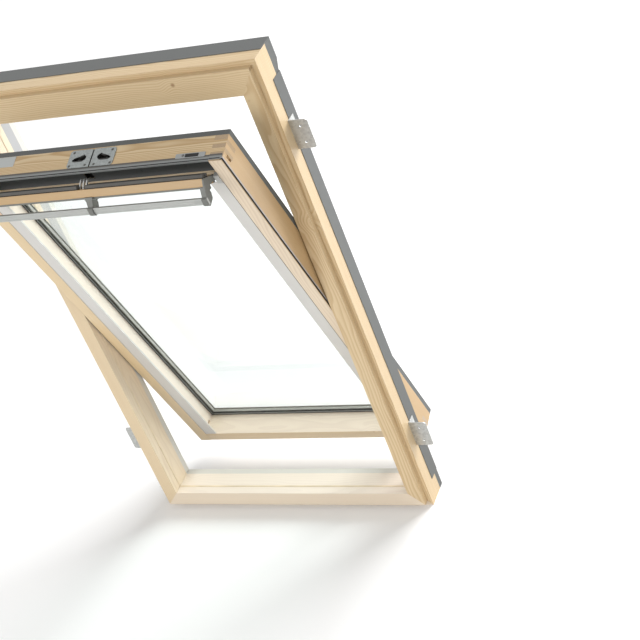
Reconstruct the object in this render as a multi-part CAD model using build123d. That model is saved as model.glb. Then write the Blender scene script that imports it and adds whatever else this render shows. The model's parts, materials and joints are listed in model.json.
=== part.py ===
"""Centre-pivot roof skylight: a pine frame and a pine sash under aluminium covers, in millimetres.

X runs to the right as seen from the room, Y outward to the weather side and Z up the window's height.
The origin is the middle of the sill's underside. Depths are measured outward from the frame's room face.
The sash is drawn shut and then swung to the open position in which the window stands at rest.
"""
from build123d import *
import os

os.makedirs("parts", exist_ok=True)

# Fixed frame: outside size, depth and the widths of its four members
frame_width = 942.0
frame_height = 1600.0
frame_depth = 90.0
jamb_width = 61.0
sill_height = 65.0
head_height = 93.0
lining_rebate_width = 16.0
lining_rebate_depth = 18.0

# Running gaps between the sash and the frame
side_gap = 4.0
head_gap = 4.0
sill_gap = 5.5

# Sash: depth of the wood and the section of its four members
sash_set_back = 7.0
stile_width = 39.0
bottom_rail_front = 40.0
bottom_rail_slope_fall = 5.0
top_rail_height = 119.0
top_rail_front_depth = 22.0
top_rail_slope_rise = 33.0
sash_edge_round = 2.5
comb_finger_depth = 13.0
comb_finger_height = 46.0
stile_notch_height = 24.0
stile_notch_width = 9.0
stile_notch_depth = 5.0
stile_notch_drop = 17.0

# Insulating glass and its gasket
glass_rebate_depth = 4.0
pane_thickness = 4.0
spacer_thickness = 10.0
spacer_width = 12.0
glass_bite = 12.0
edge_clearance = 2.0
gasket_thickness = 3.7
gasket_reveal = 5.0
contact_gap = 0.3

# Aluminium covers on the weather side
cover_sheet = 1.5
cover_over_glass = 2.0
sash_cover_inner_reveal = 14.0
frame_cover_rise = 22.0
top_cover_rise = 34.0
cover_side_lap = 26.0

# Seals round the sash and in the frame
seal_groove_depth = 6.0
seal_groove_width = 9.0
seal_groove_from_face = 2.5
seal_stand = 1.0
seal_slit = 2.5
seal_slit_from_face = 4.0
frame_seal_to_striker = 0.5
frame_seal_width = 5.0
frame_seal_groove = 6.0

# Pivot hinges at mid-height
pivot_above_middle = 15.0
pivot_from_outside = 24.0
pivot_pin_radius = 6.0
pivot_pin_clearance = 0.05
pivot_pin_reach = 10.0
pivot_pocket_clearance = 1.5
hinge_plate_thickness = 3.0
hinge_plate_width = 30.0
hinge_plate_length = 150.0
hinge_screw_pitch = 56.0

# Blind rails on the inner faces of the stiles
rail_width = 39.0
rail_sheet = 1.8
rail_leg_depth = 18.0
rail_edge_depth = 5.0
rail_from_face = 1.0
rail_below_hinge = 20.0

# Ventilation flap, its hinge and the control bar
lip_thickness = 5.5
lip_from_face = 4.0
lip_groove_from_edge = 2.0
lip_groove_width = 3.5
lip_groove_depth = 4.0
lining_sheet = 1.5
lining_height = 56.0
lining_bump_depth = 0.6
lining_bump_height = 26.0
lining_bump_drop = 10.0
lining_bump_spans = ((136.0, 145.0), (232.0, 279.0))
flap_thickness = 21.5
flap_proud = 12.0
flap_height = 56.0
flap_side_gap = 14.0
flap_edge_round = 3.0
flap_top_clearance = 1.5
flap_strip_height = 8.0
flap_strip_round = 3.6
flap_rail_depth = 6.0
flap_rail_height = 10.0
flap_rail_drop = 8.0
flap_rail_round = 2.0
flap_seal_thickness = 10.0
flap_seal_height = 26.0
flap_seal_drop = 4.0
flap_seal_groove_height = 5.2
flap_pin_radius = 3.0
flap_pin_clearance = 0.05
flap_open_angle = 48.0
bracket_thickness = 14.0
bracket_plate = 4.0
bracket_eye_radius = 6.0
bracket_round = 2.0
bracket_shoulder_rise = 1.0
bracket_hollow_drop = 2.0
bracket_crest_rise = 4.0
bracket_heel_reach = 14.5
bracket_knee_drop = 32.5
bracket_waist_reach = 19.5
bracket_waist_drop = 29.1
bracket_bay_reach = 25.3
bracket_bay_drop = 23.0
bracket_toe_reach = 27.6
bracket_toe_drop = 34.7
bracket_foot_drop = 29.7
centre_bracket_width = 26.0
centre_bracket_waist = 14.0
bar_width = 23.0
bar_thickness = 6.0
bar_tilt = 30.0
bar_stand_off = 37.4
bar_drop = 8.0
bar_corner = 2.5
bar_groove_radius = 1.0
bar_groove_offset = 5.0
carrier_height = 30.0
carrier_depth = 9.0
corner_block_width = 12.0
corner_block_depth = 14.0
corner_block_height = 20.0

# Lock in the top rail and its striker in the head
lock_plate_length = 72.0
lock_plate_back_margin = 4.0
lock_plate_thickness = 2.0
lock_plate_split = 4.0
lock_plate_overhang = 1.0
lock_corner = 7.0
claw_slot_start = 17.0
claw_slot_length = 42.0
claw_slot_width = 8.0
claw_hub_radius = 7.5
claw_hub_offset = 3.0
claw_hollow_depth = 12.0
lock_screw_from_edge = 6.4
claw_thickness = 4.0
claw_length = 32.0
claw_width = 8.0
claw_pivot_offset = 16.0
claw_pivot_drop = 23.0
claw_rest_angle = 28.0
claw_bite_radius = 2.8
claw_bite_from_tip = 6.0
claw_pocket_height = 16.0
claw_rivet_radius = 3.0
claw_rivet_clearance = 0.05
lock_cheek_height = 32.0
lock_cheek_gap = 1.0
striker_thickness = 2.0
striker_slot_length = 24.0
striker_slot_offset = 14.0
striker_width = 29.0
link_radius = 43.0
link_thickness = 6.0
link_width = 3.0
link_depth = 34.0
link_slot_low = 19.0

# Small fittings on the sash's top edge
keeper_length = 88.0
keeper_width = 15.0
keeper_over_lip = 5.0
keeper_sheet = 1.5
keeper_from_stile = 58.0
bare_plate_length = 80.0
bare_plate_width = 34.0
bare_plate_thickness = 0.6
bare_plate_from_stile = 73.0
bare_plate_to_cover = 1.0

# Fixing brackets on the frame's sides
fixing_sheet = 2.5
fixing_length = 90.0
fixing_leg_out = 55.0
fixing_leg_in = 34.0
fixing_hole_radius = 3.5
fixing_hole_pitch = 50.0
fixing_from_end = 260.0
fixing_slot_gap = 1.0

# Screws
screw_radius = 2.0
screw_head_radius = 4.0
screw_head_height = 2.4
screw_length = 20.0

# Where the window stands at rest
sash_open_angle = 17.6

# Sizes worked out from those above
half_width = frame_width / 2
clear_half = half_width - jamb_width
room_face = -frame_depth / 2
head_underside = frame_height - head_height
sash_half = clear_half - side_gap
sash_depth = frame_depth - sash_set_back
sash_bottom = sill_height + sill_gap
sash_top = head_underside - head_gap
daylight_half = sash_half - stile_width
bottom_rail_top = sash_bottom + bottom_rail_front
daylight_bottom = bottom_rail_top - bottom_rail_slope_fall
daylight_top = sash_top - top_rail_height
glass_face_depth = sash_depth - glass_rebate_depth
gasket_from_face = glass_face_depth - contact_gap - gasket_thickness
glass_back = glass_face_depth + 2 * pane_thickness + spacer_thickness
glass_half = daylight_half + glass_bite
glass_low = daylight_bottom - glass_bite
glass_high = daylight_top + glass_bite
cover_face = glass_back + cover_over_glass
pivot_height = frame_height / 2 + pivot_above_middle
pivot_from_face = frame_depth - pivot_from_outside
flap_top = sash_top - lip_thickness - flap_top_clearance
flap_bottom = flap_top - flap_height
flap_axis_height = flap_bottom - flap_strip_height / 2
rail_top_height = flap_axis_height - rail_below_hinge
bracket_half = daylight_half - flap_side_gap
flap_length = 2 * (bracket_half - bracket_plate)
flap_rail_half = bracket_half - bracket_thickness
lock_from_face = top_rail_front_depth - lock_plate_overhang
lock_plate_width = sash_depth - lock_plate_back_margin - lock_from_face
claw_depth = lock_from_face + lock_plate_width / 2
claw_axis_height = sash_top - claw_pivot_drop
frame_seal_from_face = claw_depth - striker_width / 2 - frame_seal_to_striker - frame_seal_width
keeper_centre = daylight_half - keeper_from_stile
bare_plate_centre = bare_plate_from_stile - daylight_half
bare_plate_from_face = sash_depth - bare_plate_to_cover - bare_plate_width
fixing_low = fixing_from_end
fixing_high = frame_height - fixing_from_end


def y(depth):
    """Depth outward from the frame's room face, as a Y coordinate."""
    return room_face + depth


def block(x_range, depth_range, z_range):
    """A box between two X values, two depths and two heights."""
    sizes = [high - low for low, high in (x_range, depth_range, z_range)]
    middle = (sum(x_range) / 2, y(sum(depth_range) / 2), sum(z_range) / 2)
    return Pos(*middle) * Box(*sizes)


def along_x(points, x_from, x_to):
    """A straight piece along X with a section given as (depth, height) points."""
    section = Polygon(*[(y(depth), height) for depth, height in points], align=None)
    face = Plane.YZ.offset(x_from) * section
    return extrude(face, x_to - x_from, dir=(1, 0, 0))


def mirrored(piece):
    """The same piece on the other side of the window's middle."""
    return mirror(piece, Plane.YZ)


def cylinder_x(radius, x_range, depth, height):
    """A pin along X."""
    middle = (sum(x_range) / 2, y(depth), height)
    return Pos(*middle) * Rot(0, 90, 0) * Cylinder(radius, x_range[1] - x_range[0])


def cylinder_y(radius, x_at, depth_range, height):
    """A pin along Y."""
    middle = (x_at, y(sum(depth_range) / 2), height)
    return Pos(*middle) * Rot(90, 0, 0) * Cylinder(radius, depth_range[1] - depth_range[0])


def screw(tip_direction, at):
    """A countersunk screw whose flat head is flush at a point and whose shank runs along a direction."""
    foot = (Align.CENTER, Align.CENTER, Align.MIN)
    shank = Cylinder(screw_radius, screw_length, align=foot)
    head = Cone(screw_head_radius, screw_radius, screw_head_height, align=foot)
    return Plane(origin=at, z_dir=tip_direction) * (head + shank)


def cut(piece, tools):
    """The piece with every tool's shape taken out of it."""
    for tool in tools:
        piece = piece - tool
    return piece


def write(name, *solids):
    """One file for one named piece, or for a group of like pieces."""
    shape = solids[0] if len(solids) == 1 else Compound(children=list(solids))
    export_step(shape, os.path.join("parts", name + ".step"))


def ring(x_half, z_low, z_high, width, depth_range):
    """A closed rectangular ring in the plane of the window."""
    outer = block((-x_half, x_half), depth_range, (z_low, z_high))
    inner = block((-x_half + width, x_half - width), depth_range, (z_low + width, z_high - width))
    return outer - inner


# Fixed frame: four pine members mitred at the corners

def mitred_member(corners):
    """A frame member cut from the full depth, its ends on the mitre lines."""
    outline = Polygon(*corners, align=None)
    face = Plane.XZ * outline
    return Pos(0, frame_depth / 2, 0) * extrude(face, frame_depth)


low_left = (-half_width, 0)
low_right = (half_width, 0)
high_left = (-half_width, frame_height)
high_right = (half_width, frame_height)
clear_low_left = (-clear_half, sill_height)
clear_low_right = (clear_half, sill_height)
clear_high_left = (-clear_half, head_underside)
clear_high_right = (clear_half, head_underside)

lining_rebate = ring(half_width, 0, frame_height, lining_rebate_width, (0, lining_rebate_depth))
seal_depths = (frame_seal_from_face, frame_seal_from_face + frame_seal_width)
frame_seal_grooves = ring(
    clear_half + frame_seal_groove,
    sill_height - frame_seal_groove,
    head_underside + frame_seal_groove,
    frame_seal_groove,
    seal_depths,
)
frame_seal = ring(
    clear_half + frame_seal_groove,
    sill_height - frame_seal_groove,
    head_underside + frame_seal_groove,
    frame_seal_groove + seal_stand,
    seal_depths,
)

head = mitred_member([clear_high_left, clear_high_right, high_right, high_left])
sill = mitred_member([low_left, low_right, clear_low_right, clear_low_left])
left_jamb = mitred_member([low_left, clear_low_left, clear_high_left, high_left])
head, sill, left_jamb = [cut(m, [lining_rebate, frame_seal_grooves]) for m in (head, sill, left_jamb)]

# Pivot hinges: a plate let into each jamb, a plate let into each stile and a pin between them

plate_depths = (pivot_from_face - hinge_plate_width / 2, pivot_from_face + hinge_plate_width / 2)
plate_heights = (pivot_height - hinge_plate_length / 2, pivot_height + hinge_plate_length / 2)
frame_plate = block((clear_half, clear_half + hinge_plate_thickness), plate_depths, plate_heights)
sash_plate = block((sash_half - hinge_plate_thickness, sash_half), plate_depths, plate_heights)
pin_ends = (sash_half - hinge_plate_thickness - pivot_pin_reach, clear_half + hinge_plate_thickness)
pivot_pin = cylinder_x(pivot_pin_radius, pin_ends, pivot_from_face, pivot_height)
pin_bore = cylinder_x(pivot_pin_radius + pivot_pin_clearance, pin_ends, pivot_from_face, pivot_height)
pin_pocket = cylinder_x(
    pivot_pin_radius + pivot_pocket_clearance,
    (pin_ends[0] - pivot_pocket_clearance, sash_half),
    pivot_from_face,
    pivot_height,
)
screw_heights = [pivot_height - hinge_screw_pitch, pivot_height + hinge_screw_pitch]
frame_hinge_screws = [screw((1, 0, 0), (clear_half, y(pivot_from_face), z)) for z in screw_heights]
sash_hinge_screws = [screw((-1, 0, 0), (sash_half, y(pivot_from_face), z)) for z in screw_heights]
frame_plate_recess = frame_plate
frame_plate = cut(frame_plate, [pivot_pin] + frame_hinge_screws)
sash_plate_recess = sash_plate
sash_plate = cut(sash_plate, [pin_bore] + sash_hinge_screws)

# Fixing brackets: folded steel angles screwed to the frame's sides, with two holes for the rafter

def fixing_bracket(z_middle):
    """An angle on the left side of the frame, its free leg pointing away from the window."""
    z_range = (z_middle - fixing_length / 2, z_middle + fixing_length / 2)
    start = frame_depth - fixing_leg_in
    on_side = block((-half_width - fixing_sheet, -half_width), (start, frame_depth), z_range)
    outward = block((-half_width - fixing_leg_out, -half_width), (start, start + fixing_sheet), z_range)
    holes = [
        cylinder_y(
            fixing_hole_radius,
            -half_width - fixing_leg_out / 2 - fixing_sheet,
            (start - fixing_sheet, frame_depth),
            z_middle + side * fixing_hole_pitch / 2,
        )
        for side in (-1, 1)
    ]
    angle = on_side + outward
    free_edges = angle.edges().filter_by(Axis.Y).group_by(Axis.X)[0]
    return cut(fillet(free_edges, fixing_sheet * 3), holes)


def fixing_screws(z_middle):
    """Two screws through the bracket's inner leg into the jamb."""
    depth = frame_depth - fixing_leg_in / 2 + fixing_sheet
    at_x = -half_width - fixing_sheet
    return [screw((1, 0, 0), (at_x, y(depth), z_middle + s * fixing_hole_pitch / 2)) for s in (-1, 1)]


left_fixing_screws = fixing_screws(fixing_low) + fixing_screws(fixing_high)
low_bracket = cut(fixing_bracket(fixing_low), left_fixing_screws[:2])
high_bracket = cut(fixing_bracket(fixing_high), left_fixing_screws[2:])

# Striker for the lock's claws, let into the underside of the head

striker_half = lock_plate_length - lock_plate_split
striker_depths = (claw_depth - striker_width / 2, claw_depth + striker_width / 2)
striker_heights = (head_underside, head_underside + striker_thickness)
striker = block((-striker_half, striker_half), striker_depths, striker_heights)
striker_slots = []
for side in (-1, 1):
    slot_middle = side * (claw_pivot_offset + striker_slot_offset)
    striker_slots.append(
        block(
            (slot_middle - striker_slot_length / 2, slot_middle + striker_slot_length / 2),
            (claw_depth - claw_slot_width / 2, claw_depth + claw_slot_width / 2),
            (head_underside, head_underside + claw_pocket_height),
        )
    )
striker_screw_at = striker_half - screw_head_radius * 2
striker_screws = [
    screw((0, 0, 1), (side * striker_screw_at, y(claw_depth), head_underside)) for side in (-1, 1)
]
striker_recess = striker
striker = cut(striker, striker_slots + striker_screws)

head = cut(head, [striker_recess] + striker_slots + striker_screws)
left_plate_recess = mirrored(frame_plate_recess)
left_hinge_screws = [mirrored(s) for s in frame_hinge_screws]
left_jamb = cut(left_jamb, [left_plate_recess] + left_hinge_screws + left_fixing_screws)
left_jamb = cut(left_jamb, [mirrored(pivot_pin)])


# Aluminium covers over the frame's weather side

def cover_profile(lap, rise):
    """Section of a cover: a flat face over the wood, a fold down the side and an upturned inner edge."""
    face = frame_depth + rise
    return [
        (0, frame_depth),
        (cover_sheet, frame_depth),
        (cover_sheet, face - cover_sheet),
        (lap - cover_sheet, face - cover_sheet),
        (lap - cover_sheet, frame_depth),
        (lap, frame_depth),
        (lap, face),
        (-cover_sheet, face),
        (-cover_sheet, frame_depth - cover_side_lap),
        (0, frame_depth - cover_side_lap),
    ]


side_lap = jamb_width - cover_sheet
cover_low = sill_height
cover_high = head_underside
left_points = cover_profile(side_lap, frame_cover_rise)
left_section = Polygon(*[(-half_width + across, y(depth)) for across, depth in left_points], align=None)
left_cover = Pos(0, 0, cover_low) * extrude(left_section, cover_high - cover_low)
bracket_slots = []
for z_middle in (fixing_low, fixing_high):
    bracket_slots.append(
        block(
            (-half_width - fixing_leg_out, -half_width),
            (frame_depth - cover_side_lap, frame_depth),
            (z_middle - fixing_length / 2 - fixing_slot_gap, z_middle + fixing_length / 2 + fixing_slot_gap),
        )
    )
left_cover = cut(left_cover, bracket_slots)

sill_cover_top = sill_height - cover_sheet
sill_cover_face = frame_depth + frame_cover_rise
bottom_cover = along_x(
    [
        (frame_depth, 0),
        (sill_cover_face, 0),
        (sill_cover_face, sill_cover_top),
        (frame_depth, sill_cover_top),
        (frame_depth, sill_cover_top - cover_sheet),
        (sill_cover_face - cover_sheet, sill_cover_top - cover_sheet),
        (sill_cover_face - cover_sheet, cover_sheet),
        (frame_depth, cover_sheet),
    ],
    -half_width,
    half_width,
)
bottom_cover_end = block(
    (half_width - cover_sheet, half_width), (frame_depth, sill_cover_face), (0, sill_cover_top)
)
bottom_cover = bottom_cover + bottom_cover_end + mirrored(bottom_cover_end)
top_face = frame_depth + top_cover_rise
top_cover = along_x(
    [
        (frame_depth, head_underside + cover_sheet),
        (frame_depth, head_underside),
        (top_face - head_height / 6, head_underside),
        (top_face, head_underside + head_height / 3),
        (top_face, frame_height + cover_sheet),
        (frame_depth - cover_side_lap, frame_height + cover_sheet),
        (frame_depth - cover_side_lap, frame_height),
        (top_face - cover_sheet, frame_height),
        (top_face - cover_sheet, head_underside + head_height / 3 + cover_sheet),
        (top_face - head_height / 6 - cover_sheet, head_underside + cover_sheet),
    ],
    -half_width,
    half_width,
)
top_cover_end = along_x(
    [
        (frame_depth, head_underside),
        (top_face - head_height / 6, head_underside),
        (top_face, head_underside + head_height / 3),
        (top_face, frame_height),
        (frame_depth, frame_height),
    ],
    half_width - cover_sheet,
    half_width,
)
top_cover = top_cover + top_cover_end + mirrored(top_cover_end)

write("frame_head", head)
write("frame_sill", sill)
write("frame_left_jamb", left_jamb)
write("frame_right_jamb", mirrored(left_jamb))
write("frame_seal", frame_seal)
write("frame_hinge_left", mirrored(frame_plate))
write("frame_hinge_right", frame_plate)
write("pivot_pins", pivot_pin, mirrored(pivot_pin))
write("lock_striker", striker)
write("fixing_bracket_low_left", low_bracket)
write("fixing_bracket_low_right", mirrored(low_bracket))
write("fixing_bracket_high_left", high_bracket)
write("fixing_bracket_high_right", mirrored(high_bracket))
jamb_screws = frame_hinge_screws + [mirrored(s) for s in left_fixing_screws]
write("frame_screws", *(jamb_screws + left_hinge_screws + left_fixing_screws + striker_screws))
write("frame_left_cover", left_cover)
write("frame_right_cover", mirrored(left_cover))
write("frame_bottom_cover", bottom_cover)
write("frame_top_cover", top_cover)

# Sash: stiles the full height, rails between them, joined with comb fingers at the corners

glass_rebate = block(
    (-glass_half - edge_clearance, glass_half + edge_clearance),
    (glass_face_depth - contact_gap, sash_depth),
    (glass_low - edge_clearance, glass_high + edge_clearance),
)


def comb_fingers(z_range, first_depth):
    """The fingers of a rail that pass through the end of the right stile."""
    fingers = []
    for number in (0, 1):
        start = first_depth + 2 * number * comb_finger_depth
        fingers.append(block((daylight_half, sash_half), (start, start + comb_finger_depth), z_range))
    return fingers


top_finger_start = top_rail_front_depth + comb_finger_depth / 2
top_fingers = comb_fingers((sash_top - comb_finger_height, sash_top), top_finger_start)
bottom_fingers = comb_fingers((sash_bottom, sash_bottom + comb_finger_height), comb_finger_depth)
stile = block((daylight_half, sash_half), (0, sash_depth), (sash_bottom, sash_top))
stile = fillet(stile.edges().filter_by(Axis.Z).group_by(Axis.Y)[0], sash_edge_round)
seal_depth_range = (seal_groove_from_face, seal_groove_from_face + seal_groove_width)
side_groove_x = (sash_half - seal_groove_depth, sash_half)
stile_seal_groove = block(side_groove_x, seal_depth_range, (sash_bottom, sash_top))
notch_top = sash_top - stile_notch_drop
stile_notch = block(
    (sash_half - stile_notch_depth, sash_half),
    (top_rail_front_depth, top_rail_front_depth + stile_notch_width),
    (notch_top - stile_notch_height, notch_top),
)

bottom_rail = along_x(
    [
        (0, sash_bottom),
        (sash_depth, sash_bottom),
        (sash_depth, daylight_bottom),
        (gasket_from_face, daylight_bottom),
        (0, bottom_rail_top),
    ],
    -daylight_half,
    daylight_half,
)
front_edges = bottom_rail.edges().filter_by(Axis.X).group_by(Axis.Y)[0]
bottom_rail = fillet(front_edges, sash_edge_round)
bottom_seal_groove = block(
    (-sash_half, sash_half), seal_depth_range, (sash_bottom, sash_bottom + seal_groove_depth)
)

top_rail = along_x(
    [
        (top_rail_front_depth, sash_top),
        (top_rail_front_depth, daylight_top + top_rail_slope_rise),
        (gasket_from_face, daylight_top),
        (sash_depth, daylight_top),
        (sash_depth, sash_top),
    ],
    -daylight_half,
    daylight_half,
)

# Lock: two folded plates let into the top rail, each with a claw that swings up out of its slot

mortise = block(
    (-lock_plate_length - contact_gap, lock_plate_length + contact_gap),
    (claw_depth - claw_thickness / 2 - lock_cheek_gap - lock_plate_thickness,
     claw_depth + claw_thickness / 2 + lock_cheek_gap + lock_plate_thickness),
    (sash_top - lock_plate_thickness - lock_cheek_height, sash_top),
)
cheek_inner = claw_thickness / 2 + lock_cheek_gap
right_plate = block(
    (lock_plate_split / 2, lock_plate_length),
    (lock_from_face, lock_from_face + lock_plate_width),
    (sash_top, sash_top + lock_plate_thickness),
)
plate_corners = right_plate.edges().filter_by(Axis.Z).group_by(Axis.X)[-1]
right_plate = fillet(plate_corners, lock_corner)
for side in (-1, 1):
    cheek_depths = sorted([
        claw_depth + side * cheek_inner,
        claw_depth + side * (cheek_inner + lock_plate_thickness),
    ])
    right_plate = right_plate + block(
        (lock_plate_split / 2, lock_plate_length - lock_corner),
        cheek_depths,
        (sash_top - lock_cheek_height, sash_top),
    )
claw_slot_middle = claw_slot_start + claw_slot_length / 2
claw_hub_middle = claw_slot_start + claw_hub_radius
slot_outline = Pos(claw_slot_middle, y(claw_depth)) * SlotOverall(claw_slot_length, claw_slot_width)
slot_outline += Pos(claw_hub_middle, y(claw_depth + claw_hub_offset)) * Circle(claw_hub_radius)
slot_outline += Polygon(
    (claw_hub_middle, y(claw_depth + claw_hub_offset + claw_hub_radius)),
    (claw_hub_middle, y(claw_depth)),
    (claw_slot_start + claw_slot_length - claw_slot_width, y(claw_depth)),
    align=None,
)
claw_slot = Pos(0, 0, sash_top - claw_hollow_depth) * extrude(
    slot_outline, claw_hollow_depth + 2 * lock_plate_thickness
)
lock_screw_places = [
    (lock_plate_length - 2 * screw_head_radius, lock_from_face + lock_screw_from_edge),
    (lock_plate_length - 3 * screw_head_radius, lock_from_face + lock_plate_width - 2 * screw_head_radius),
    (lock_plate_split / 2 + 3 * screw_head_radius, lock_from_face + lock_screw_from_edge),
]
plate_face = sash_top + lock_plate_thickness
right_lock_screws = [screw((0, 0, -1), (across, y(depth), plate_face)) for across, depth in lock_screw_places]
cheek_outer = cheek_inner + lock_plate_thickness
rivet_depths = (claw_depth - cheek_outer, claw_depth + cheek_outer)
right_rivet = cylinder_y(claw_rivet_radius, claw_pivot_offset, rivet_depths, claw_axis_height)
right_plate = cut(right_plate, [claw_slot, right_rivet] + right_lock_screws)


def lock_claw():
    """A flat lever with a hooked tip, lying almost flat in the right half of the lock."""
    arm = Pos(claw_length / 2, 0) * SlotOverall(claw_length + claw_width, claw_width)
    bite = Pos(claw_length - claw_bite_from_tip, claw_width / 2) * Circle(claw_bite_radius)
    eye = Circle(claw_rivet_radius + claw_rivet_clearance)
    flat = extrude(Rot(0, 0, claw_rest_angle) * (arm - bite - eye), claw_thickness / 2, both=True)
    upright = Rot(90, 0, 0) * flat
    return Pos(claw_pivot_offset, y(claw_depth), claw_axis_height) * upright


right_claw = lock_claw()

# Fittings on the sash's top edge: the seal lip, a folded keeper and a bare plate

lip_bottom = sash_top - lip_thickness
lip_groove_start = lip_from_face + lip_groove_from_edge
lip = block((-daylight_half, daylight_half), (lip_from_face, top_rail_front_depth), (lip_bottom, sash_top))
lip_groove = block(
    (-daylight_half, daylight_half),
    (lip_groove_start, lip_groove_start + lip_groove_width),
    (sash_top - lip_groove_depth, sash_top),
)
lip = lip - lip_groove
lip_seal = block(
    (-daylight_half, daylight_half),
    (lip_groove_start, lip_groove_start + lip_groove_width),
    (sash_top - lip_groove_depth, sash_top - seal_stand),
)
lining_low = lip_bottom - lining_height
lining_face = top_rail_front_depth - lining_sheet
lining = block((-daylight_half, daylight_half), (lining_face, top_rail_front_depth), (lining_low, lip_bottom))
bump_depths = (lining_face - lining_bump_depth, lining_face)
bump_top = lip_bottom - lining_bump_drop
for span in lining_bump_spans:
    lining = lining + block(span, bump_depths, (bump_top - lining_bump_height, bump_top))

keeper_start = top_rail_front_depth - keeper_over_lip
keeper_depths = (keeper_start, keeper_start + keeper_width)
keeper = block(
    (keeper_centre - keeper_length / 2, keeper_centre + keeper_length / 2),
    keeper_depths,
    (sash_top, sash_top + keeper_sheet),
)
bare_plate = block(
    (bare_plate_centre - bare_plate_length / 2, bare_plate_centre + bare_plate_length / 2),
    (bare_plate_from_face, bare_plate_from_face + bare_plate_width),
    (sash_top, sash_top + bare_plate_thickness),
)
keeper_screw_depth = top_rail_front_depth + screw_head_radius
keeper_screw = screw(
    (0, 0, -1), (keeper_centre - keeper_length / 4, y(keeper_screw_depth), sash_top + keeper_sheet)
)
keeper = keeper - keeper_screw

# Curved link arms of the flap run into the lock through a slot in the rail's front

link_places = (-30.0, -20.0, -10.0)
flap_depth_range = (-flap_proud, flap_thickness - flap_proud)


def link_arm(x_at):
    """A curved arm about the flap's hinge line, so that it slides in its own path as the flap swings."""
    x_range = (x_at - link_width / 2, x_at + link_width / 2)
    outer = cylinder_x(link_radius + link_thickness / 2, x_range, 0, flap_axis_height)
    inner = cylinder_x(link_radius - link_thickness / 2, x_range, 0, flap_axis_height)
    arc = outer - inner
    reach = link_radius + link_thickness
    kept = block(x_range, (flap_depth_range[1], link_depth), (flap_axis_height, flap_axis_height + reach))
    return arc & kept


link_slots = block(
    (link_places[0] - link_width, link_places[-1] + link_width),
    (lining_face, link_radius),
    (flap_axis_height + link_slot_low, flap_axis_height + link_radius + link_thickness),
)

right_fingers_top = [cut(finger, [stile_notch]) for finger in top_fingers]
for finger in right_fingers_top + [mirrored(f) for f in right_fingers_top]:
    top_rail = top_rail + finger
for finger in bottom_fingers + [mirrored(f) for f in bottom_fingers]:
    bottom_rail = bottom_rail + finger
left_lock_screws = [mirrored(s) for s in right_lock_screws]
lock_cuts = [mortise, claw_slot, mirrored(claw_slot)] + right_lock_screws + left_lock_screws
top_rail = cut(top_rail, [glass_rebate, link_slots, keeper_screw] + lock_cuts)
bottom_rail = cut(bottom_rail, [glass_rebate, bottom_seal_groove])
bottom_rail = cut(bottom_rail, [stile_seal_groove, mirrored(stile_seal_groove)])
right_stile = cut(stile, [glass_rebate, stile_seal_groove, bottom_seal_groove, stile_notch])
right_stile = cut(right_stile, [sash_plate_recess, pin_pocket] + sash_hinge_screws)
right_stile = cut(right_stile, top_fingers + bottom_fingers)
lining = lining - link_slots

# Insulating glass: two panes, the spacer, the sealant at the edge and the gasket on the room side

def pane(start):
    """One sheet of glass from a given depth."""
    return block((-glass_half, glass_half), (start, start + pane_thickness), (glass_low, glass_high))


inner_pane = pane(glass_face_depth)
outer_pane = pane(glass_face_depth + pane_thickness + spacer_thickness)
gap_depths = (glass_face_depth + pane_thickness, glass_face_depth + pane_thickness + spacer_thickness)
spacer_half = glass_half - glass_bite
spacer = ring(spacer_half, glass_low + glass_bite, glass_high - glass_bite, spacer_width, gap_depths)
edge_sealant = ring(glass_half, glass_low, glass_high, glass_bite, gap_depths)
gasket_depths = (gasket_from_face, gasket_from_face + gasket_thickness)
gasket = ring(daylight_half, daylight_bottom, daylight_top, gasket_reveal, gasket_depths)
corner_block = block(
    (daylight_half - corner_block_width, daylight_half),
    (gasket_from_face - corner_block_depth, gasket_from_face),
    (daylight_top - corner_block_height, daylight_top - contact_gap),
)

# Blind rails: aluminium channels with a wide front, held on the inner faces of the stiles

rail_inner = daylight_half - rail_width
rail_back = rail_from_face + rail_sheet
rail_section = [
    (daylight_half, rail_from_face),
    (daylight_half, rail_from_face + rail_leg_depth),
    (daylight_half - rail_sheet, rail_from_face + rail_leg_depth),
    (daylight_half - rail_sheet, rail_back),
    (rail_inner + rail_sheet, rail_back),
    (rail_inner + rail_sheet, rail_from_face + rail_edge_depth),
    (rail_inner, rail_from_face + rail_edge_depth),
    (rail_inner, rail_from_face),
]
rail_face = Polygon(*[(across, y(depth)) for across, depth in rail_section], align=None)
rail = Pos(0, 0, daylight_bottom) * extrude(rail_face, rail_top_height - daylight_bottom)
rail_slope_cut = along_x(
    [
        (0, sash_bottom),
        (gasket_from_face, sash_bottom),
        (gasket_from_face, daylight_bottom),
        (0, bottom_rail_top),
    ],
    0,
    sash_half,
)
rail = rail - rail_slope_cut

# Aluminium covers on the sash's weather side

def sash_cover_section(inner_reveal):
    """Section of a sash cover: side fold, flat face and a short fold towards the glass."""
    lap = stile_width + inner_reveal
    return [
        (0, sash_depth),
        (0, cover_face),
        (lap, cover_face),
        (lap, glass_back + contact_gap),
        (lap - cover_sheet, glass_back + contact_gap),
        (lap - cover_sheet, cover_face - cover_sheet),
        (cover_sheet, cover_face - cover_sheet),
        (cover_sheet, sash_depth),
    ]


side_cover_points = sash_cover_section(sash_cover_inner_reveal)
cover_face_points = [(sash_half - across, y(depth)) for across, depth in side_cover_points]
cover_section = Polygon(*cover_face_points, align=None)
right_cover = Pos(0, 0, sash_bottom) * extrude(cover_section, sash_top - sash_bottom)
cover_lap = stile_width + sash_cover_inner_reveal
end_x = (sash_half - cover_lap, sash_half)
for end_heights in ((sash_bottom, sash_bottom + cover_sheet), (sash_top - cover_sheet, sash_top)):
    right_cover = right_cover + block(end_x, (sash_depth, cover_face), end_heights)
bottom_lap = daylight_bottom + sash_cover_inner_reveal - sash_bottom
top_lap = sash_top - daylight_top + sash_cover_inner_reveal


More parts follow.
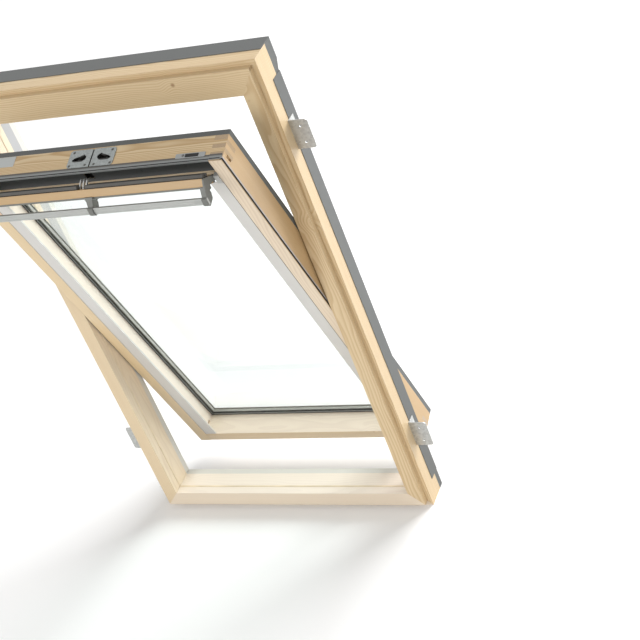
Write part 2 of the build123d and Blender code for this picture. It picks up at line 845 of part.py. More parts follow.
def rail_cover(z_edge, direction, lap):
    """Cover between the two side covers, over the top or bottom rail."""
    points = sash_cover_section(lap - stile_width)
    return along_x(
        [(depth, z_edge + direction * across) for across, depth in points],
        -sash_half + cover_lap,
        sash_half - cover_lap,
    )


top_sash_cover = rail_cover(sash_top, -1, top_lap)
bottom_sash_cover = rail_cover(sash_bottom, 1, bottom_lap)

# Seals on the sash's sides and bottom

side_seal = block(
    (sash_half - seal_groove_depth, sash_half + seal_stand),
    seal_depth_range,
    (sash_bottom, sash_top),
)
side_slit = block(
    (sash_half - seal_slit, sash_half + seal_stand),
    (seal_slit_from_face, seal_slit_from_face + seal_slit),
    (sash_bottom, sash_top),
)
side_seal = side_seal - side_slit
bottom_seal = block(
    (-sash_half + seal_groove_depth, sash_half - seal_groove_depth),
    seal_depth_range,
    (sash_bottom - seal_stand, sash_bottom + seal_groove_depth),
)

# Ventilation flap: a pine board with a seal on its back and an aluminium strip along its hinge edge

flap = block((-flap_length / 2, flap_length / 2), flap_depth_range, (flap_bottom, flap_top))
flap = fillet(flap.edges().filter_by(Axis.X).group_by(Axis.Y)[0], flap_edge_round)
flap_seal = block(
    (-flap_length / 2, flap_length / 2),
    (flap_depth_range[1], flap_depth_range[1] + flap_seal_thickness),
    (flap_top - flap_seal_drop - flap_seal_height, flap_top - flap_seal_drop),
)
flap_seal_middle = flap_top - flap_seal_drop - flap_seal_height / 2
flap_seal_groove = block(
    (-flap_length / 2, flap_length / 2),
    (flap_depth_range[1] + flap_seal_thickness / 3, flap_depth_range[1] + flap_seal_thickness),
    (flap_seal_middle - flap_seal_groove_height / 2, flap_seal_middle + flap_seal_groove_height / 2),
)
link_gap = block(
    (link_places[0] - link_width, link_places[-1] + link_width),
    (flap_depth_range[1], flap_depth_range[1] + flap_seal_thickness),
    (flap_bottom, flap_top),
)
flap_seal = cut(flap_seal, [flap_seal_groove, link_gap])
strip = block(
    (-flap_length / 2, flap_length / 2),
    flap_depth_range,
    (flap_bottom - flap_strip_height, flap_bottom),
)
strip = fillet(strip.edges().filter_by(Axis.X).group_by(Axis.Z)[0], flap_strip_round)
flap_rail_top = flap_top - flap_rail_drop
flap_rail = block(
    (-flap_rail_half, flap_rail_half),
    (-flap_proud - flap_rail_depth, -flap_proud),
    (flap_rail_top - flap_rail_height, flap_rail_top),
)
flap_rail = fillet(flap_rail.edges().filter_by(Axis.X).group_by(Axis.Y)[0], flap_rail_round)

# Control bar: a flat blade held in three brackets that reach out from the flap

bar_depth = -flap_proud - bar_stand_off
bar_height = flap_top - bar_drop
bar_place = Plane.YZ.offset(-bracket_half) * Pos(y(bar_depth), bar_height) * Rot(0, 0, bar_tilt)
bar_section = RectangleRounded(bar_width, bar_thickness, bar_corner)
bar = extrude(bar_place * bar_section, 2 * bracket_half, dir=(1, 0, 0))
for side in (-1, 1):
    groove_middle = Pos(side * bar_groove_offset, bar_thickness / 2)
    groove = extrude(bar_place * groove_middle * Circle(bar_groove_radius), 2 * bracket_half, dir=(1, 0, 0))
    bar = bar - groove

bracket_arm = [
    (-flap_proud, flap_top + bracket_shoulder_rise),
    (bar_depth + bar_width / 2, flap_top - bracket_hollow_drop),
    (bar_depth + bar_width / 4, flap_top + bracket_crest_rise),
    (bar_depth - bar_width / 2, bar_height + bar_thickness / 2),
    (bar_depth - bracket_heel_reach, bar_height - bar_drop),
    (bar_depth + bar_thickness / 2, flap_top - bracket_knee_drop),
    (bar_depth + bracket_waist_reach, flap_top - bracket_waist_drop),
    (bar_depth + bracket_bay_reach, flap_top - bracket_bay_drop),
    (bar_depth + bracket_toe_reach, flap_top - bracket_toe_drop),
    (-flap_proud, flap_top - bracket_foot_drop),
]
bracket_side = [
    (flap_depth_range[1], flap_bottom + flap_strip_height / 2),
    (flap_depth_range[1], flap_top - flap_edge_round),
    (flap_depth_range[1] - flap_edge_round, flap_top),
    (-flap_proud, flap_top + bracket_shoulder_rise),
    (-flap_proud, flap_top - bracket_foot_drop),
    (-bracket_eye_radius, flap_bottom + flap_strip_height),
    (-bracket_eye_radius, flap_axis_height),
    (bracket_eye_radius, flap_axis_height),
]


def bracket(x_low, x_high):
    """The arm between the flap's front and the control bar, with its edges rounded."""
    arm = along_x(bracket_arm, x_low, x_high)
    rounded = arm.edges().filter_by(Axis.X).sort_by(Axis.Y)[:-2]
    return fillet(rounded, bracket_round)


plate_x = (bracket_half - bracket_plate, bracket_half)
eye = cylinder_x(bracket_eye_radius, plate_x, 0, flap_axis_height)
end_plate = along_x(bracket_side, plate_x[0], plate_x[1]) + eye
flap_pin_ends = (plate_x[0] + contact_gap, daylight_half)
flap_pin = cylinder_x(flap_pin_radius, flap_pin_ends, 0, flap_axis_height)
flap_pin_bore = cylinder_x(flap_pin_radius + flap_pin_clearance, plate_x, 0, flap_axis_height)
pin_carrier = block(
    (bracket_half + contact_gap, daylight_half),
    (rail_from_face - carrier_depth / 2, rail_from_face + carrier_depth),
    (rail_top_height, rail_top_height + carrier_height),
)
pin_carrier = pin_carrier - flap_pin
right_bracket = cut(bracket(flap_rail_half, bracket_half) + end_plate, [flap_pin_bore, bar])
centre_plan = Polygon(
    (-centre_bracket_width / 2, y(-flap_proud)),
    (-centre_bracket_waist / 2 - bracket_shoulder_rise, y(-flap_proud - bar_stand_off / 3)),
    (-centre_bracket_waist / 2, y(bar_depth)),
    (-centre_bracket_waist / 2, y(bar_depth - bar_width)),
    (centre_bracket_waist / 2, y(bar_depth - bar_width)),
    (centre_bracket_waist / 2, y(bar_depth)),
    (centre_bracket_width / 2, y(-flap_proud)),
    align=None,
)
centre_taper = Pos(0, 0, flap_bottom) * extrude(centre_plan, flap_height * 2)
centre_arm = bracket(-centre_bracket_width / 2, centre_bracket_width / 2) & centre_taper
centre_bracket = cut(centre_arm, [bar, flap_rail])

# Swing the flap open about its hinge line, then swing everything on the sash about the pivots

pivot_axis = Axis((0, y(pivot_from_face), pivot_height), (1, 0, 0))
flap_axis = Axis((0, y(0), flap_axis_height), (1, 0, 0))


def on_sash(piece):
    """A sash piece where it stands at rest, with the sash open."""
    return piece.rotate(pivot_axis, sash_open_angle)


def on_flap(piece):
    """A flap piece where it stands at rest, with the flap pulled open on the open sash."""
    return on_sash(piece.rotate(flap_axis, flap_open_angle))


hinge_screws = sash_hinge_screws + [mirrored(s) for s in sash_hinge_screws]
sash_pieces = {
    "sash_top_rail": [top_rail],
    "sash_bottom_rail": [bottom_rail],
    "sash_left_stile": [mirrored(right_stile)],
    "sash_right_stile": [right_stile],
    "sash_hinge_left": [mirrored(sash_plate)],
    "sash_hinge_right": [sash_plate],
    "sash_screws": hinge_screws + right_lock_screws + left_lock_screws + [keeper_screw],
    "inner_pane": [inner_pane],
    "outer_pane": [outer_pane],
    "glass_spacer": [spacer],
    "glass_edge_sealant": [edge_sealant],
    "glazing_gasket": [gasket],
    "gasket_corner_blocks": [corner_block, mirrored(corner_block)],
    "blind_rail_left": [mirrored(rail)],
    "blind_rail_right": [rail],
    "sash_left_cover": [mirrored(right_cover)],
    "sash_right_cover": [right_cover],
    "sash_top_cover": [top_sash_cover],
    "sash_bottom_cover": [bottom_sash_cover],
    "sash_side_seals": [side_seal, mirrored(side_seal)],
    "sash_bottom_seal": [bottom_seal],
    "vent_lip": [lip],
    "vent_lip_seal": [lip_seal],
    "vent_channel_lining": [lining],
    "lock_plate_right": [right_plate],
    "lock_plate_left": [mirrored(right_plate)],
    "claw_rivets": [right_rivet, mirrored(right_rivet)],
    "vent_keeper": [keeper],
    "bare_plate": [bare_plate],
    "flap_pin_carriers": [pin_carrier, mirrored(pin_carrier)],
    "flap_pins": [flap_pin, mirrored(flap_pin)],
    "lock_claw_right": [right_claw],
    "lock_claw_left": [mirrored(right_claw)],
}
flap_pieces = {
    "vent_flap": [flap],
    "flap_seal": [flap_seal],
    "flap_strip": [strip],
    "flap_link_arms": [link_arm(x_at) for x_at in link_places],
    "bar_bracket_right": [right_bracket],
    "bar_bracket_left": [mirrored(right_bracket)],
    "bar_bracket_centre": [centre_bracket],
    "flap_rail": [flap_rail],
    "control_bar": [bar],
}
for name, solids in sash_pieces.items():
    write(name, *[on_sash(solid) for solid in solids])
for name, solids in flap_pieces.items():
    write(name, *[on_flap(solid) for solid in solids])
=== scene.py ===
import json
import math

import bmesh
import bpy
from mathutils import Matrix, Vector


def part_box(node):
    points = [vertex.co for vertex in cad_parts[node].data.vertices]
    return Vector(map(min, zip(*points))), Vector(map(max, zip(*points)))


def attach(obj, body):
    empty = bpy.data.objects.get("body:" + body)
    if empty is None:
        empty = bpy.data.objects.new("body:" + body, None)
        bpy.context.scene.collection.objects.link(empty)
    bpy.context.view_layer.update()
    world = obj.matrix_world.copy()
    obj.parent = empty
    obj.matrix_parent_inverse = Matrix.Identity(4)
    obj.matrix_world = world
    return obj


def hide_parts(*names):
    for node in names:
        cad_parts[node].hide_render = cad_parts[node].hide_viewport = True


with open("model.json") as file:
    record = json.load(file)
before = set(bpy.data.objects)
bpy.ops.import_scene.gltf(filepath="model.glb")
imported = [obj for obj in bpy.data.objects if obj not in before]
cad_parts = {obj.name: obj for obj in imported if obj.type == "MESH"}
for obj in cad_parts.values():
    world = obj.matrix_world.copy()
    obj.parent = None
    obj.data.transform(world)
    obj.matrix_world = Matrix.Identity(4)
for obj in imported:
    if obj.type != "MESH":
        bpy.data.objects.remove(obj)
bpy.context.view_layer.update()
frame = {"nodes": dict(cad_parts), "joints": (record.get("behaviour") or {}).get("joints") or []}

nodes = frame["nodes"]
joints = {joint["name"]: joint for joint in frame["joints"]}

# Fixed frame: head, sill and two jambs of laminated pine, mitred and glued at the corners.
# They are planed, then dipped in a clear water-based lacquer that lets the growth rings show.
# A flush grey lining strip covers the upper part of the jambs' inner faces. The sill is painted
# lighter and whitish overall, and the jambs' sides that face the opening too, as painted light.


class Shade:
    """A shader socket that takes part in Python sums; each operator adds its Math node."""

    tree = None

    def __init__(self, socket):
        self.socket = socket

    @classmethod
    def node(cls, kind, settings=None, inputs=None, output=0):
        """Adds a node, makes its settings, then sets or links its sockets, and gives one output."""
        made = cls.tree.nodes.new(kind)
        for name, value in (settings or {}).items():
            setattr(made, name, value)
        for name, value in (inputs or {}).items():
            if isinstance(value, Shade):
                cls.tree.links.new(value.socket, made.inputs[name])
            else:
                made.inputs[name].default_value = value
        return cls(made.outputs[output])

    @classmethod
    def math(cls, operation, *values):
        """Adds a Math node for sockets, numbers or both."""
        return cls.node("ShaderNodeMath", {"operation": operation}, dict(enumerate(values)))

    def __add__(self, other):
        return Shade.math("ADD", self, other)

    def __sub__(self, other):
        return Shade.math("SUBTRACT", self, other)

    def __mul__(self, other):
        return Shade.math("MULTIPLY", self, other)

    def __truediv__(self, other):
        return Shade.math("DIVIDE", self, other)

    def __rsub__(self, other):
        return Shade.math("SUBTRACT", other, self)

    __radd__ = __add__
    __rmul__ = __mul__


def split(vector):
    """The three numbers of a vector."""
    parts = Shade.node("ShaderNodeSeparateXYZ", inputs={"Vector": vector}).socket.node.outputs
    return [Shade(part) for part in parts]


def join(x, y, z):
    """A vector of three numbers."""
    return Shade.node("ShaderNodeCombineXYZ", inputs={"X": x, "Y": y, "Z": z})


def noise(vector, scale, detail=2.0, output=0):
    """Soft random variation between 0 and 1, or its colour with output 1."""
    sockets = {"Vector": vector, "Scale": scale, "Detail": detail}
    return Shade.node("ShaderNodeTexNoise", inputs=sockets, output=output)


def mix(factor, first, second):
    """A colour between two colours."""
    return Shade.node("ShaderNodeMix", {"data_type": "RGBA"}, {0: factor, 6: first, 7: second}, output=2)


def rise(value, low, high):
    """A smooth step from 0 at low to 1 at high."""
    sockets = {"Value": value, "From Min": low, "From Max": high}
    return Shade.node("ShaderNodeMapRange", {"interpolation_type": "SMOOTHSTEP"}, sockets)


def start_material(name, **sockets):
    """A new material with its constant sockets set; its nodes are then made through Shade."""
    material = bpy.data.materials.new(name)
    material.use_nodes = True
    Shade.tree = material.node_tree
    surface = material.node_tree.nodes["Principled BSDF"]
    for socket, value in sockets.items():
        surface.inputs[socket.replace("_", " ")].default_value = value
    return material, surface


def feed(surface, **sockets):
    """Links values that change over the surface to the surface shader's sockets."""
    for socket, value in sockets.items():
        Shade.tree.links.new(value.socket, surface.inputs[socket.replace("_", " ")])


def relief(height, distance, edge):
    """A normal that follows small heights in metres, with the edges softened by a radius."""
    softened = Shade.node("ShaderNodeBevel", {"samples": 4}, {"Radius": edge})
    sockets = {"Height": height, "Distance": distance, "Strength": 1.0, "Normal": softened}
    return Shade.node("ShaderNodeBump", inputs=sockets)


def dress(material, *names):
    """Gives CAD nodes their material."""
    for name in names:
        mesh = nodes[name].data
        mesh.materials.clear()
        mesh.materials.append(material)


def shut_coordinates(angle=0.0, centre=(0, 0, 0)):
    """Places on a piece in metres, turned back by the angle that its body stands open."""
    here = Shade.node("ShaderNodeTexCoord", output=3)
    if not angle:
        return here
    sockets = {"Vector": here, "Center": centre, "Angle": -angle}
    return Shade.node("ShaderNodeVectorRotate", {"rotation_type": "X_AXIS"}, sockets)


def face_direction():
    """The way that a face looks."""
    return Shade.node("ShaderNodeNewGeometry", output=1)


def looks_along(direction):
    """How straight a face looks along a direction, either way: 1 when it faces it."""
    sockets = {0: face_direction(), 1: direction}
    product = Shade.node("ShaderNodeVectorMath", {"operation": "DOT_PRODUCT"}, sockets, output=1)
    return Shade.math("ABSOLUTE", product)


pine_light = (0.73, 0.57, 0.35, 1)
pine_dark = (0.51, 0.335, 0.16, 1)
pine_knot = (0.28, 0.14, 0.055, 1)
pine_end = (0.36, 0.235, 0.12, 1)
# A whitish tone laid over the wood as painted light, a sunlit sheen.
pine_painted_light = (0.88, 0.81, 0.75, 1)
lining_grey = (0.40, 0.405, 0.415, 1)
# Near-black painted shade for the inside of the lock's pocket.
painted_pocket_shade = (0.018, 0.016, 0.014, 1)
ring_pitch = 0.0042
ring_sway = 0.045
ring_slant = 0.9
knot_scale = 4.3
knot_rim = (0.020, 0.042)
knot_swirl = (0.02, 0.20)
swirl_rings = 2.2
late_start = (0.25, 0.88)
late_end = (0.90, 1.0)
sway_scale = (1.6, 7)
streak_scale = (0.7, 30)
fibre_scale = (9, 700)
# How straight a face must look one way to take that side's painted light or painted shade.
painted_light_turn = (0.6, 0.8)
end_turn = (0.8, 0.95)
lined_side = (-0.30, -0.24)


def pine(name, grain, pith, angle=0.0, centre=(0, 0, 0), pale_and_light=0.0, painted_light=0.0, figure=1.0,
         right=None, left=None, front=None, pocket_shade_box=None, lining=None):
    """Lacquered pine whose growth rings run round a pith line along the grain.

    The paleness value lightens it, partly as the wood's own tone and partly as painted light, and
    the sheen value lays a whitish tone on it as painted light; right, left and front give both values
    for the faces that look that way, so those sides carry painted light and painted shade.
    Pocket is the box that the lock's case fills; the wood in it is painted near-black as painted shade.
    Lining is where the grey strip starts.
    """
    material, surface = start_material(
        name, Coat_Roughness=0.22, Coat_Weight=0.25, Specular_IOR_Level=0.4
    )
    x, y, z = split(shut_coordinates(angle, centre))
    along, across, deep = (x, y, z) if grain == "X" else (z, x, y)

    def stretched(scales):
        """Places in the wood, scaled along and across its grain."""
        return join(along * scales[0], across * scales[1], deep * scales[1])

    sway = split(noise(stretched(sway_scale), 1.0, 3, output=1))
    beside_pith = across - pith[0] + (sway[0] - 0.5) * ring_sway
    behind_pith = deep - pith[1] + (sway[1] - 0.5) * ring_sway
    from_pith = Shade.math("SQRT", beside_pith * beside_pith + behind_pith * behind_pith)
    from_knot = Shade.node(
        "ShaderNodeTexVoronoi", inputs={"Vector": join(along, across, deep), "Scale": knot_scale}
    )
    swirl = (1 - rise(from_knot, *knot_swirl)) * swirl_rings
    turn = Shade.math("FRACT", from_pith / ring_pitch + along * ring_slant + swirl)
    late = rise(turn, *late_start) * (1 - rise(turn, *late_end))
    fibre = noise(stretched(fibre_scale), 1.0, 3)
    streak = noise(stretched(streak_scale), 1.0, 2)
    grain_axis = (1, 0, 0) if grain == "X" else (0, math.sin(-angle), math.cos(angle))
    end_grain = rise(looks_along(grain_axis), *end_turn)
    facing = split(face_direction())
    # Faces that look right, left or to the front take their own values: painted light and shade by side.
    for axis, sign, tones in ((0, 1, right), (0, -1, left), (1, -1, front)):
        if tones:
            turned = rise(facing[axis] * sign, *painted_light_turn)
            pale_and_light, painted_light = (turned * (there - here) + here for here, there in zip((pale_and_light, painted_light), tones))
    ring_tone = late * (0.30 + 0.35 * sway[2]) * figure
    amount = ring_tone + (streak - 0.5) * 0.6 + (fibre - 0.5) * 0.3 + 0.16 - pale_and_light
    wood = mix(amount, pine_light, pine_dark)
    # The whitish sheen of painted light.
    if painted_light:
        wood = mix(painted_light, wood, pine_painted_light)
    wood = mix(end_grain * (0.55 + 0.4 * fibre), wood, pine_end)
    wood = mix((1 - rise(from_knot, *knot_rim)) * 0.8, wood, pine_knot)
    # The lock's pocket: the wood inside it is painted near-black as shade.
    if pocket_shade_box:
        pocket_shade_mask = 1.0
        for value, (low, high) in zip((x, y, z), pocket_shade_box):
            above = Shade.math("GREATER_THAN", value, low)
            pocket_shade_mask = pocket_shade_mask * (above * Shade.math("LESS_THAN", value, high))
        wood = mix(pocket_shade_mask, wood, painted_pocket_shade)
    if lining:
        lined = Shade.math("GREATER_THAN", y, lining[0]) * Shade.math("GREATER_THAN", z, lining[1])
        wood = mix(lined * (1 - rise(facing[0] * x, *lined_side)), wood, lining_grey)
    feed(
        surface,
        Base_Color=wood,
        Roughness=0.36 + fibre * 0.12 + late * 0.05,
        Normal=relief(fibre * 0.7 + late * 0.3, 0.00012, 0.0012),
    )
    return material


upper_lining = (0.010, 0.84)
# Painted light on the jambs' sides that face the opening.
painted_light_side = (0.3, 0.35)
dress(pine("pine_head", grain="X", pith=(0.02, 1.64)), "frame_head")
# The sill is painted lighter and whitish as painted light, its front less so.
dress(
    pine("pine_sill", grain="X", pith=(-0.03, -0.05), pale_and_light=0.2, painted_light=0.70, front=(0.1, 0.45)),
    "frame_sill",
)
dress(
    pine("pine_left_jamb", grain="Z", pith=(-0.53, 0.02), pale_and_light=0.2, painted_light=0.1,
         right=painted_light_side, lining=upper_lining),
    "frame_left_jamb",
)
dress(
    pine("pine_right_jamb", grain="Z", pith=(0.40, 0.09), left=painted_light_side, lining=upper_lining),
    "frame_right_jamb",
)

# Sash: two stiles and two rails of the same laminated pine, joined at the corners with comb fingers.
# The fingers of the rails show their end grain on the stiles' sides. The pocket for the lock is
# milled into the top rail, and its inside is painted near-black as painted shade. The bottom rail
# and the stiles' inner sides are painted lighter and whitish as painted light, and the stiles'
# outer sides darker as painted shade.

sash_open = math.radians(17.6)
pivot = Vector(joints["sash_pivot"]["pos_m"])
sash_turn = {"angle": sash_open, "centre": pivot}
# Painted light on the stiles' inner sides, and painted shade on their outer sides.
inner_painted_light = (0.2, 0.75)
outer_painted_shade = (-0.7, 0.0)
# The box in the top rail where the lock's pocket is painted near-black as shade.
lock_pocket_shade_box = ((-0.064, 0.064), (-0.0225, 0.0325), (1.40, 1.5035))
dress(
    pine("pine_top_rail", grain="X", pith=(0.03, 1.47), figure=1.7, pocket_shade_box=lock_pocket_shade_box, **sash_turn),
    "sash_top_rail",
)
# The bottom rail is painted lighter and whitish as painted light, its front less so.
dress(
    pine("pine_bottom_rail", grain="X", pith=(-0.02, 0.03), pale_and_light=0.12, painted_light=0.55, figure=0.9,
         front=(0.0, 0.12), **sash_turn),
    "sash_bottom_rail",
)
dress(
    pine("pine_left_stile", grain="Z", pith=(-0.42, -0.07), pale_and_light=0.3,
         right=inner_painted_light, left=outer_painted_shade, **sash_turn),
    "sash_left_stile",
)
dress(
    pine("pine_right_stile", grain="Z", pith=(0.45, 0.10), painted_light=0.35,
         right=outer_painted_shade, left=inner_painted_light, **sash_turn),
    "sash_right_stile",
)

# Covers over the weather side: roll-formed aluminium sheet with a baked dark grey lacquer.
# They clip over the wood and keep the rain off it. The frame covers' folds that face the opening
# are painted pale, as a painted highlight.

cover_grey = (0.085, 0.09, 0.088, 1)
# A pale tone for the frame covers' inner folds: a painted highlight.
painted_fold_highlight = (0.66, 0.64, 0.59, 1)
opening_middle = 0.8
fold_highlight_edge = (-0.36, -0.30)


def lacquered_sheet(name, colour, fold_highlight_tone=None):
    """Baked lacquer on sheet metal; the given tone is painted on its inner folds round the frame's
    opening as a painted highlight.
    """
    material, surface = start_material(name, Metallic=0.0, Specular_IOR_Level=0.5)
    here = shut_coordinates()
    peel = noise(here, 900.0, 2)
    cloud = noise(here, 9.0, 3)
    lighter = tuple(min(1.0, c * 1.25) for c in colour[:3]) + (1,)
    paint = mix(cloud, colour, lighter)
    # The folds that face the opening take the given tone as a painted highlight.
    if fold_highlight_tone:
        x, _, z = split(here)
        look_x, _, look_z = split(face_direction())
        outward = look_x * x + look_z * (z - opening_middle)
        paint = mix(rise(outward, *fold_highlight_edge), fold_highlight_tone, paint)
    feed(
        surface,
        Base_Color=paint,
        Roughness=0.38 + cloud * 0.14,
        Normal=relief(peel, 0.00005, 0.0005),
    )
    return material


dress(
    lacquered_sheet("frame_cover_lacquer", cover_grey, painted_fold_highlight),
    "frame_left_cover", "frame_right_cover", "frame_bottom_cover", "frame_top_cover",
)
dress(
    lacquered_sheet("cover_lacquer", cover_grey),
    "sash_left_cover", "sash_right_cover", "sash_top_cover", "sash_bottom_cover",
)

# Channel under the lip of the top rail: a folded dark grey strip that the air passes over, painted
# darker still as the shade inside the channel. The flap's hinge strip has the same finish, a tone lighter.

# The channel's strip is darkened further as painted shade inside the channel.
dress(lacquered_sheet("channel_grey_painted_shade", (0.030, 0.034, 0.033, 1)), "vent_channel_lining")
dress(lacquered_sheet("strip_grey", (0.075, 0.078, 0.072, 1)), "flap_strip")

# Insulating glass: two clear float panes, bonded round their edges into one sealed unit.
# The lamps' light passes straight through them, so that what lies behind stays bright.


def any_ray(*kinds):
    """1 for the kinds of ray that are named, and 0 for all others."""
    rays = Shade.node("ShaderNodeLightPath").socket.node.outputs
    found = Shade(rays["Is " + kinds[0] + " Ray"])
    for kind in kinds[1:]:
        found = Shade.math("MAXIMUM", found, Shade(rays["Is " + kind + " Ray"]))
    return found


glass, glass_surface = start_material(
    "clear_glass", Base_Color=(0.96, 0.985, 0.98, 1), Transmission_Weight=1.0, Roughness=0.0, IOR=1.45
)
see_through = Shade.node("ShaderNodeBsdfTransparent", inputs={"Color": (0.93, 0.95, 0.945, 1)})
pane_shader = Shade.node(
    "ShaderNodeMixShader",
    inputs={0: any_ray("Shadow", "Diffuse"), 1: Shade(glass_surface.outputs[0]), 2: see_through},
)
glass.node_tree.links.new(pane_shader.socket, glass.node_tree.nodes["Material Output"].inputs["Surface"])
dress(glass, "inner_pane", "outer_pane")

# Seals: extruded rubber strips pushed into grooves of the wood, and a brush strip on the flap.
# Black sealant closes the glass's edge; the gasket on it is black in front, and its sides are
# painted grey as painted light.
# The grey side seals are black along their front, and the brush strip is dark beside the pine.

flap_open = math.radians(48.0)
flap_line = Vector(joints["flap_hinge"]["pos_m"])
flap_turn = {"angle": sash_open + flap_open, "centre": flap_line}
# Grey painted light for the gasket's sides.
gasket_side_painted_light = (0.30, 0.30, 0.28, 1)
seal_black = (0.015, 0.014, 0.013, 1)
seal_front_end = (-0.0382, -0.0378)
joint_black = (0.008, 0.006, 0.005, 1)
flap_back = 0.0095
joint_depth = (0.0014, 0.0018)


def soft_rubber(name, colour, roughness):
    """Extruded rubber with a fine speckle and a cloudy tone."""
    material, surface = start_material(name, Specular_IOR_Level=0.35)
    here = shut_coordinates()
    speck = noise(here, 600.0, 2)
    cloud = noise(here, 20.0, 2)
    lighter = tuple(min(1.0, c * 1.5 + 0.01) for c in colour[:3]) + (1,)
    feed(
        surface,
        Base_Color=mix(cloud, colour, lighter),
        Roughness=roughness + speck * 0.1,
        Normal=relief(speck, 0.00008, 0.0004),
    )
    return material


def reopen(material):
    """A finished material's surface shader and its colour, so that more can be laid over it."""
    Shade.tree = material.node_tree
    surface = material.node_tree.nodes["Principled BSDF"]
    return surface, Shade(surface.inputs["Base Color"].links[0].from_socket)


black_rubber = soft_rubber("black_rubber", (0.012, 0.012, 0.012, 1), 0.6)
dress(black_rubber, "glass_edge_sealant", "gasket_corner_blocks", "vent_lip_seal")

gasket_rubber = soft_rubber("glazing_rubber", (0.02, 0.02, 0.019, 1), 0.5)
surface, tone = reopen(gasket_rubber)
# The gasket's sides are painted grey as painted light; faces that look to the front keep the black.
front = looks_along((0, math.cos(sash_open), math.sin(sash_open)))
feed(surface, Base_Color=mix(rise(front, *painted_light_turn), gasket_side_painted_light, tone))
dress(gasket_rubber, "glazing_gasket")

grey_seal = soft_rubber("grey_seal", (0.36, 0.33, 0.32, 1), 0.55)
surface, tone = reopen(grey_seal)
depth = split(shut_coordinates(**sash_turn))[1]
feed(surface, Base_Color=mix(rise(depth, *seal_front_end), seal_black, tone))
dress(grey_seal, "sash_side_seals", "sash_bottom_seal")
dress(soft_rubber("tan_seal", (0.60, 0.50, 0.36, 1), 0.6), "frame_seal")

brush_seal = soft_rubber("brush_seal", (0.085, 0.082, 0.075, 1), 0.6)
surface, tone = reopen(brush_seal)
behind_pine = split(shut_coordinates(**flap_turn))[1] - flap_line[1] - flap_back
feed(surface, Base_Color=mix(1 - rise(behind_pine, *joint_depth), tone, joint_black))
dress(brush_seal, "flap_seal")

# Pin carriers: blocks of moulded grey plastic on the sash, at the ends of the flap.
# The flap's pins turn in them.

dress(soft_rubber("moulded_plastic", (0.42, 0.42, 0.40, 1), 0.4), "flap_pin_carriers")

# Glass spacer: a rolled aluminium strip that holds the panes apart, all the way round.
# A dark line of butyl at each pane bonds it to the glass.

spacer_middle = 0.043
butyl_start = 0.0034
butyl_grey = (0.16, 0.16, 0.15, 1)
line_blur = 0.0003
drawn_along = 3
drawn_across = 500


def drawn_metal(name, colour, metallic, roughness, along="X"):
    """Extruded or rolled metal with faint streaks along its length."""
    material, surface = start_material(name)
    x, y, z = split(shut_coordinates(**sash_turn))
    x_scale, z_scale = (drawn_along, drawn_across) if along == "X" else (drawn_across, drawn_along)
    streak = noise(join(x * x_scale, y * drawn_across, z * z_scale), 1.0, 3)
    cloud = noise(join(x, y, z), 14.0, 2)
    darker = tuple(c * 0.82 for c in colour[:3]) + (1,)
    feed(
        surface,
        Base_Color=mix(streak * 0.6 + cloud * 0.3, colour, darker),
        Roughness=roughness + streak * 0.12,
        Metallic=metallic + (cloud - 0.5) * 0.05,
        Normal=relief(streak, 0.00004, 0.0006),
    )
    return material


spacer_metal = drawn_metal("spacer_metal", (0.36, 0.365, 0.34, 1), 0.1, 0.45)
surface, tone = reopen(spacer_metal)
off_middle = Shade.math("ABSOLUTE", split(shut_coordinates(**sash_turn))[1] - spacer_middle)
feed(surface, Base_Color=mix(rise(off_middle, butyl_start, butyl_start + line_blur), tone, butyl_grey))
dress(spacer_metal, "glass_spacer")

# Blind rails: light grey anodised aluminium channels screwed to the inner faces of the stiles.
# A dark line of painted shade runs along the edge that lies on the wood, as the shadow in the gap.

rail_shade_width = 0.0013
# Painted shade for the gap between the rail and the wood.
rail_gap_painted_shade = (0.06, 0.045, 0.03, 1)
rail_metal = drawn_metal("rail_metal", (0.70, 0.68, 0.65, 1), 0.25, 0.40, "Z")
surface, tone = reopen(rail_metal)
rail_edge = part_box("blind_rail_right")[1][0] - rail_shade_width
sideways = Shade.math("ABSOLUTE", split(shut_coordinates())[0])
feed(surface, Base_Color=mix(rise(sideways, rail_edge, rail_edge + line_blur), tone, rail_gap_painted_shade))
dress(rail_metal, "blind_rail_left", "blind_rail_right")

# Control bar: an extruded satin aluminium bar held by three cast brackets on the flap's front. Its
# upper edge is painted darker, as the shade of the groove that runs along it. The flap's own rail
# behind it is extruded too.

bar_tilt = math.radians(30)
flap_shut_line = Vector((0, -0.045, 1.436))
flap_swing = (
    Matrix.Translation(flap_line)
    @ Matrix.Rotation(sash_open + flap_open, 4, "X")
    @ Matrix.Translation(-flap_shut_line)
)
bar_middle = Vector((0, -0.0944, 1.488))
bar_centre = flap_swing @ bar_middle
bar_shade_band = (0.0098, 0.0104)
# Painted shade along the bar's upper edge, where its groove lies.
bar_groove_painted_shade = (0.20, 0.20, 0.185, 1)
bar_metal = drawn_metal("bar_metal", (0.50, 0.51, 0.49, 1), 0.35, 0.38)
surface, tone = reopen(bar_metal)
bar_side = split(shut_coordinates(sash_open + flap_open + bar_tilt, bar_centre))[1] - bar_centre[1]
feed(surface, Base_Color=mix(rise(bar_side, *bar_shade_band), tone, bar_groove_painted_shade))
dress(bar_metal, "control_bar")
dress(drawn_metal("edge_metal", (0.20, 0.205, 0.185, 1), 0.2, 0.5), "flap_rail")

# Ventilation lip: an extruded aluminium strip along the top of the sash, over the channel.
# Its back edge is painted darker, as the shade that lies there beside the wood.

lip_shade_band = (-0.0300, -0.0285)
